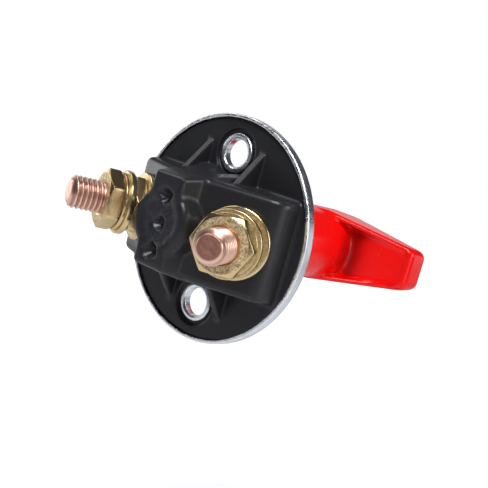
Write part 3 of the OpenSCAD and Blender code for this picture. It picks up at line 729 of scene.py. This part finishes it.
class SWITCH_OT_washers(bpy.types.Operator):
    """Builds the base, plain and split spring washers"""
    bl_idname = "switch.washers"
    bl_label = "Washers"

    def execute(self, context):
        s = context.scene.switch_sizes
        cols = 160
        base = [[4.6, 0.2], [4.8, 0], [10.5, 0], [10.5, 2.1], [5.0, 2.1], [4.6, 1.8]]
        plain = [[5.16, 0.1], [5.3, 0], [9.75, 0], [9.75, 1.75], [5.4, 1.75], [5.16, 1.5]]
        plans = (("base_washer", 0.02, base, 0.75), ("plain_washer", 6.21, plain, 0.35))
        split_in, split_out, split_t, split_at, slant = 5.2, 8.8, 1.2, 7.98, 25
        for word, side, gap in (("left", -1, 118), ("right", 1, 20)):
            for label, k, sharp, radius in plans:
                sharp = np.array(sharp + sharp[:1], float)[:, None, :]
                rows = soften(sharp, radius, 5)[:, 0]
                points = turned(rows[:-1], cols)
                points[:, 2] += k
                matt = ((rows[:-1, 1] < 0.02) | (rows[:-1, 1] > sharp[..., 1].max() - 0.02)) * 0.45
                quads = grid_quads(len(rows) - 1, cols, wrap_rows=True)
                thing = piece(f"turned_{word}_{label}", on_stud(points, side, s), quads,
                              {"matt": np.repeat(matt, cols)}, crease=45)
                settle(thing, f"{word}_{label}", finish("yellow_zinc"))
            middle = (split_in + split_out) / 2
            sharp = np.array([[middle, 0.0], [split_out, 0.0], [split_out, split_t], [split_in, split_t],
                              [split_in, 0.0], [middle, 0.0]])[:, None, :]
            rows = soften(sharp, 0.25, 4)[:-1, 0]
            lean = np.tan(np.radians(slant)) * (rows[:, 1] - split_t / 2) / rows[:, 0]
            half = 0.42 / rows[:, 0]
            w = np.linspace(0, 1, cols)[:, None]
            a = np.radians(gap) + lean + half + w * (TAU - 2 * half)
            ring = np.stack([rows[:, 0] * np.cos(a), rows[:, 0] * np.sin(a), rows[:, 1] + 0 * a], -1)
            ends = [np.repeat(ring[i:i + 1].mean(1, keepdims=True), len(rows), 1) for i in (0, -1)]
            ring = np.concatenate([ends[0], ring, ends[1]])
            points = ring.reshape(-1, 3)
            points[:, 2] += split_at
            matt = np.tile(((rows[:, 1] < 0.03) | (rows[:, 1] > split_t - 0.03)) * 0.4, len(ring))
            thing = piece(f"split_{word}_spring_washer", on_stud(points, side, s),
                          grid_quads(len(ring), len(rows)), {"matt": matt}, crease=40)
            settle(thing, f"{word}_spring_washer", finish("yellow_zinc"))
        return {"FINISHED"}


def key_field():
    """Field of the key: a round shaft blended into a bar that thins towards both ends and slopes back to the
    shaft, with its hub and driving tongue. Negative inside, in millimetres."""
    front, tail, reach, half = KEY[0][1], KEY[1][1], KEY[1][0], KEY[1][2]
    wing_root, root_x, wing_fall, draft_end = 21.7, 12.0, 12.2, 13.5
    shaft_back, hub_back, hub_front, hub_r = -11.24, -8.1, -12, 6.5
    border, tip_border, tongue_half, tongue_t = 1.9, 2.6, 6.0, 1.5

    def field(x, y, z):
        ax, az, r = np.abs(x), np.abs(z), np.hypot(x, z)
        wide = half - 0.118 * np.maximum(front + draft_end - y, 0)
        shaft = join_max((r - wide) * 0.99, y - shaft_back, 0.9)
        shaft = join_max(shaft, front + 0.6 - y, 2.0)
        slant = (y - front - wing_root) * (reach - root_x) + (ax - root_x) * wing_fall
        slant = slant / np.hypot(reach - root_x, wing_fall)
        fall = np.sqrt(np.maximum(ax - 3.5, 0) ** 2 + 2.0) - 1.4
        thick = (az - half + 1.6 - (y - front) * 0.0645 + fall * 0.149) * 0.98
        bar = join_max(ax - reach, slant, 1.6)
        bar = join_max(bar, front - y, 2.2)
        bar = join_max(bar, thick, 2.6)
        depth = 5.6 - 5.0 * np.sin(np.clip((ax - 10.0) / 18.0, 0, 1) * np.pi / 2)
        pocket = join_max(-slant - depth, join_max(thick + border, ax - reach + tip_border, 1.5), 1.5)
        bar = join_max(bar, -np.maximum(pocket, np.maximum(8.0 - r, y + 45.0)), 1.8)
        body = join_min(shaft, bar, 1.2)
        hub = np.maximum(np.maximum(r - hub_r, y - hub_back), hub_front - y)
        tongue = np.maximum(np.maximum(ax - tongue_half, az - tongue_t), np.maximum(y - tail, hub_front - y))
        return np.minimum(body, np.minimum(hub, tongue))
    return field


class SWITCH_OT_key(bpy.types.Operator):
    """Builds the red turning key from its blended field"""
    bl_idname = "switch.key"
    bl_label = "Key"

    def execute(self, context):
        s = context.scene.switch_sizes
        points, quads = blended_solid(key_field(), KEY[0], KEY[1], s.key_step * 1000)
        points = np.clip(points, KEY[0] + 0.001, KEY[1] - 0.001)
        x, y, z = points.T
        ax = np.abs(x)
        # painted shade in the valley beside the shaft, where the bar's pocket meets it; it darkens the red
        shade_x, shade_from, shade_to, shade_half = 13.3, -46.5, -59, 10.2
        painted_shade = np.exp(-((ax - shade_x) / np.where(ax > shade_x, 3.4, 2.4)) ** 2)
        painted_shade = painted_shade * np.clip((shade_from - y) / 4, 0, 1)
        painted_shade = painted_shade * np.clip((y - shade_to) / 2, 0, 1) * np.clip((shade_half - np.abs(z)) / 3.5, 0, 1)
        thing = piece("moulded_key", points, quads, {"painted_shade": painted_shade}, merge=False, crease=0)
        settle(thing, "key", finish("red_plastic"), "key")
        return {"FINISHED"}


class SWITCH_OT_inner_parts(bpy.types.Operator):
    """Gives the solids inside the switch their finishes"""
    bl_idname = "switch.inner_parts"
    bl_label = "Inner parts"

    def execute(self, context):
        for node, name in (("guide_bush", "bush_nylon"), ("rotor", "rotor_nylon"),
                           ("rotor_seal", "seal_rubber"), ("carrier", "rotor_nylon"),
                           ("contact_spring", "spring_steel"), ("bridge", "bridge_copper"),
                           ("bridge_clip", "spring_steel"), ("return_spring", "spring_steel")):
            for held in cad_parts[node].material_slots:
                held.link = "OBJECT"
                held.material = finish(name)
        return {"FINISHED"}


def lamp(name, place, target, size, power, colour=(1, 1, 1)):
    """A soft square lamp at a place, facing a target, in metres and watts."""
    data = bpy.data.lights.new(name, "AREA")
    data.shape, data.size, data.size_y, data.energy, data.color = "RECTANGLE", size[0], size[1], power, colour
    thing = bpy.data.objects.new(name, data)
    way = np.array(target, float) - np.array(place, float)
    back = -way / np.linalg.norm(way)
    right = np.cross((0, 0, 1), back)
    right /= np.linalg.norm(right)
    up = np.cross(back, right)
    matrix = Matrix.Identity(4)
    for n, axis in enumerate((right, up, back, np.array(place, float))):
        for m in range(3):
            matrix[m][n] = axis[m]
    thing.matrix_world = matrix
    thing.visible_camera = False
    bpy.context.scene.collection.objects.link(thing)
    return thing


class SWITCH_OT_stage(bpy.types.Operator):
    """Sets the pale floor, the soft lamps and the camera"""
    bl_idname = "switch.stage"
    bl_label = "Stage"

    def execute(self, context):
        scene = context.scene
        side = np.linspace(-2.5, 2.5, 2)
        x, y = np.meshgrid(side, side)
        floor = piece("floor", np.stack([x.ravel(), y.ravel(), np.full(4, -0.16)], -1) * 1000,
                      np.array([[0, 1, 3, 2]]), merge=False)
        f = Finish("pale_floor", Roughness=0.9)
        f.colour((0.86, 0.86, 0.86, 1))
        paths = f.add("ShaderNodeLightPath").outputs
        far = f.add("ShaderNodeVectorMath", Vector=f.place)
        far.operation = "LENGTH"
        level = f.span(far.outputs["Value"], 0.25, 0.9, 0.42, 1.0)
        glow = f.add("ShaderNodeEmission", Color=(1, 1, 1, 1),
                     Strength=f.sum(paths["Is Camera Ray"], level, "MULTIPLY"))
        both = f.add("ShaderNodeAddShader")
        f.feed(both.inputs[0], f.shader.outputs[0])
        f.feed(both.inputs[1], glow.outputs[0])
        f.feed(f.tree.nodes["Material Output"].inputs["Surface"], both.outputs[0])
        floor.data.materials.append(f.material)

        world = bpy.data.worlds.new("studio")
        world.use_nodes = True
        tree = world.node_tree
        tree.nodes.clear()
        new, link = tree.nodes.new, tree.links.new
        out, pick, path = new("ShaderNodeOutputWorld"), new("ShaderNodeMixShader"), new("ShaderNodeLightPath")
        air, room = new("ShaderNodeBackground"), new("ShaderNodeBackground")
        air.inputs[0].default_value, air.inputs[1].default_value = (1, 1, 1, 1), 1.0
        room.inputs[0].default_value, room.inputs[1].default_value = (0.9, 0.93, 1.0, 1), 0.06
        link(path.outputs["Is Camera Ray"], pick.inputs[0])
        link(room.outputs[0], pick.inputs[1])
        link(air.outputs[0], pick.inputs[2])
        link(pick.outputs[0], out.inputs[0])
        scene.world = world

        lamp("top_lamp", (-0.26, 0.42, 0.7), (0, 0, 0), (0.35, 0.35), 6.2, (0.93, 0.95, 1.0))
        lamp("upper_left_lamp", (0.5, 0.12, 0.62), (0, 0, 0), (0.5, 0.4), 1.4)
        lamp("left_lamp", (0.95, 0.05, 0.06), (0, 0, 0), (0.9, 0.42), 2.0)
        lamp("right_lamp", (-0.72, -0.2, 0.3), (0, 0, 0), (0.3, 0.4), 1.8)
        lamp("fill_lamp", (-0.86, 0.02, 0.1), (0, 0, 0), (0.4, 0.4), 0.9)
        lamp("front_lamp", (-0.5, -0.84, 0.06), (0, 0, 0), (0.46, 0.32), 0.42, (0.93, 0.96, 1.0))
        lamp("back_lamp", (0.57, -0.78, 0.3), (0, 0, 0), (0.5, 0.45), 0.42)

        data = bpy.data.cameras.new("camera")
        data.sensor_width, data.lens, data.clip_start, data.clip_end = 36.0, 67.09, 0.01, 20.0
        camera = bpy.data.objects.new("camera", data)
        right, up, ahead = (-0.7284, -0.6304, 0.2683), (0.2863, 0.0757, 0.9551), (0.6225, -0.7726, -0.1253)
        matrix = Matrix.Identity(4)
        for n, axis in enumerate((right, up, [-v for v in ahead], (-0.17918, 0.20975, 0.03219))):
            for m in range(3):
                matrix[m][n] = axis[m]
        camera.matrix_world = matrix
        scene.collection.objects.link(camera)
        scene.camera = camera
        scene.view_settings.view_transform = "Standard"
        return {"FINISHED"}


PIECES = (SWITCH_OT_housing, SWITCH_OT_cover_plate, SWITCH_OT_eyelets, SWITCH_OT_studs, SWITCH_OT_nuts,
          SWITCH_OT_washers, SWITCH_OT_key, SWITCH_OT_inner_parts, SWITCH_OT_stage)


class SWITCH_PT_panel(bpy.types.Panel):
    """Lists the pieces of the switch"""
    bl_idname = "SWITCH_PT_panel"
    bl_label = "Cut-off switch"
    bl_space_type = "VIEW_3D"
    bl_region_type = "UI"
    bl_category = "Switch"

    def draw(self, context):
        for maker in PIECES:
            self.layout.operator(maker.bl_idname)
        for group in (context.scene.switch_sizes, context.scene.switch_colours):
            for name in group.__annotations__:
                self.layout.prop(group, name)


CLASSES = (SwitchSizes, SwitchColours, *PIECES, SWITCH_PT_panel)


def register():
    for kind in CLASSES:
        bpy.utils.register_class(kind)
    bpy.types.Scene.switch_sizes = bpy.props.PointerProperty(type=SwitchSizes)
    bpy.types.Scene.switch_colours = bpy.props.PointerProperty(type=SwitchColours)


def unregister():
    del bpy.types.Scene.switch_colours
    del bpy.types.Scene.switch_sizes
    for kind in reversed(CLASSES):
        bpy.utils.unregister_class(kind)


def main():
    register()
    bpy.ops.switch.stage()
    bpy.ops.switch.housing()
    bpy.ops.switch.cover_plate()
    bpy.ops.switch.eyelets()
    bpy.ops.switch.studs()
    bpy.ops.switch.nuts()
    bpy.ops.switch.washers()
    bpy.ops.switch.key()
    bpy.ops.switch.inner_parts()


if __name__ == "__main__":
    main()
